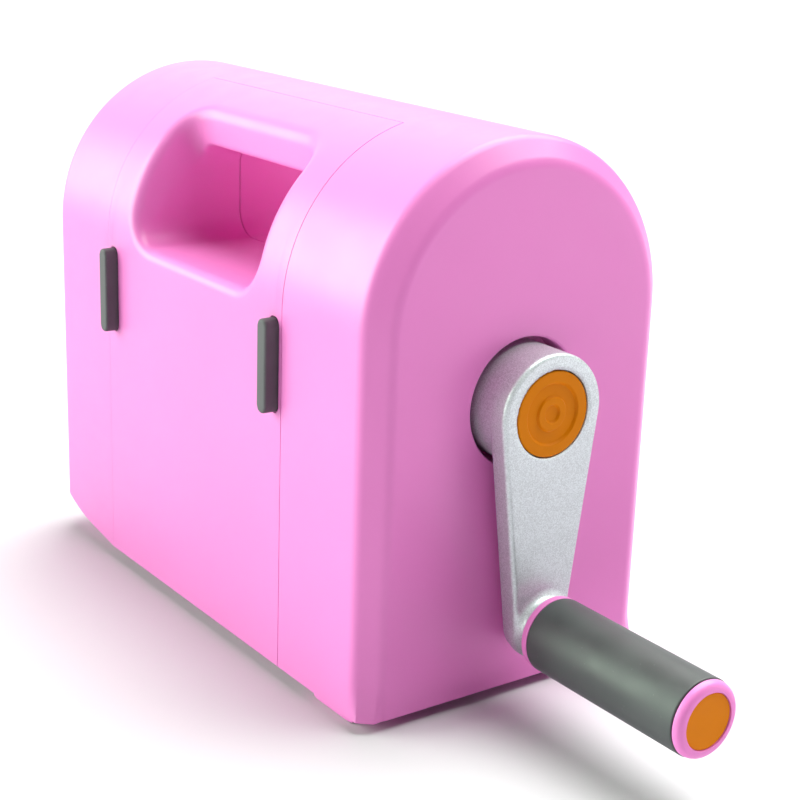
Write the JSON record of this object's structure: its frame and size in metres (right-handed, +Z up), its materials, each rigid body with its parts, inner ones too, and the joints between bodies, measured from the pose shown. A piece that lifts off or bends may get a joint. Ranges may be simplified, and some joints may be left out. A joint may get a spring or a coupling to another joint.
{
  "type": "die cutting machine",
  "caption": "Portable hand-cranked die cutting machine: arched case with a carrying handle, doors that fold down as feed tables, and a geared pair of rollers inside.",
  "frame": {"origin": "on the table, at the middle of the machine's overall footprint, crank included; the middle of the door section lies 57.75 mm towards -X from it", "axes": "+X towards the crank end, -Y towards the front door, +Z up"},
  "size_m": [0.3914, 0.1624, 0.236],
  "materials": {
    "case_pink": "satin moulded plastic with a fine grain",
    "inner_pink": "matt moulded plastic",
    "frame_steel": "laser-cut plate, brushed",
    "bright_steel": "bright turned steel",
    "roller_steel": "ground roller",
    "gear_steel": "sintered, lightly oiled",
    "bush_bronze": "sintered bronze",
    "foot_rubber": "matt dark rubber",
    "crank_silver": "silver sparkle paint on a casting",
    "button_orange": "satin orange plastic",
    "grip_pink": "satin pink plastic",
    "grip_rubber": "matt dark grey rubber"
  },
  "bodies": {
    "root": {"right_housing": "case_pink", "left_housing": "case_pink", "right_inner_cover": "inner_pink", "left_inner_cover": "inner_pink", "handle_bridge_front": "case_pink", "handle_bridge_rear": "case_pink", "roller_hood": "inner_pink", "base_pan": "inner_pink", "feed_bed_front": "inner_pink", "feed_bed_rear": "inner_pink", "right_side_plate": "frame_steel", "left_side_plate": "frame_steel", "tie_rods": "bright_steel", "upper_roller_bushes": "bush_bronze", "lower_roller_bushes": "bush_bronze", "crank_bushes": "bush_bronze", "gear_bracket": "frame_steel", "bracket_posts": "frame_steel", "bracket_screws": "bright_steel", "frame_screws": "bright_steel", "housing_screws": "bright_steel", "base_screws": "bright_steel", "bridge_screws": "bright_steel", "bridge_magnets": "bright_steel", "rubber_feet": "foot_rubber", "front_hinge_pins": "bright_steel", "rear_hinge_pins": "bright_steel"},
    "front_door": {"front_door_shell": "case_pink", "front_platform": "inner_pink", "front_bumpers": "foot_rubber", "front_door_magnets": "bright_steel", "front_platform_screws": "bright_steel"},
    "rear_door": {"rear_door_shell": "case_pink", "rear_platform": "inner_pink", "rear_bumpers": "foot_rubber", "rear_door_magnets": "bright_steel", "rear_platform_screws": "bright_steel"},
    "crank": {"crank_arm": "crank_silver", "crank_shaft": "bright_steel", "crank_button": "button_orange", "crank_screw": "bright_steel", "drive_pinion": "gear_steel", "pinion_key": "bright_steel", "crank_collars": "bright_steel", "grip_spindle": "bright_steel", "grip_retainer": "bright_steel"},
    "grip": {"grip_core": "grip_pink", "grip_sleeve": "grip_rubber", "grip_end_cap": "button_orange"},
    "upper_roller": {"upper_roller_drum": "roller_steel", "upper_roller_shaft": "bright_steel", "roller_gear": "gear_steel", "gear_key": "bright_steel", "upper_roller_clips": "bright_steel"},
    "lower_roller": {"lower_roller_drum": "roller_steel", "lower_roller_shaft": "bright_steel", "lower_roller_clips": "bright_steel"}
  },
  "joints": [
    {"name": "crank_spin", "type": "hinge", "parent": "root", "child": "crank", "pos_m": [0.08425, 0, 0.1295], "axis": [1, 0, 0], "continuous": true},
    {"name": "grip_spin", "type": "hinge", "parent": "crank", "child": "grip", "pos_m": [0.14925, 0.00259, 0.03674], "axis": [1, 0, 0], "continuous": true},
    {"name": "upper_roller_spin", "type": "hinge", "parent": "root", "child": "upper_roller", "pos_m": [-0.05775, 0, 0.0755], "axis": [1, 0, 0], "continuous": true},
    {"name": "lower_roller_spin", "type": "hinge", "parent": "root", "child": "lower_roller", "pos_m": [-0.05775, 0, 0.0225], "axis": [1, 0, 0], "continuous": true},
    {"name": "front_door_fold", "type": "hinge", "parent": "root", "child": "front_door", "pos_m": [-0.05775, -0.066, 0.014], "axis": [1, 0, 0], "range_deg": [0, 90]},
    {"name": "rear_door_fold", "type": "hinge", "parent": "root", "child": "rear_door", "pos_m": [-0.05775, 0.066, 0.014], "axis": [-1, 0, 0], "range_deg": [0, 90]}
  ],
  "couplings": [
    {"joint": "upper_roller_spin", "follows": "crank_spin", "ratio": -0.33333}
  ]
}
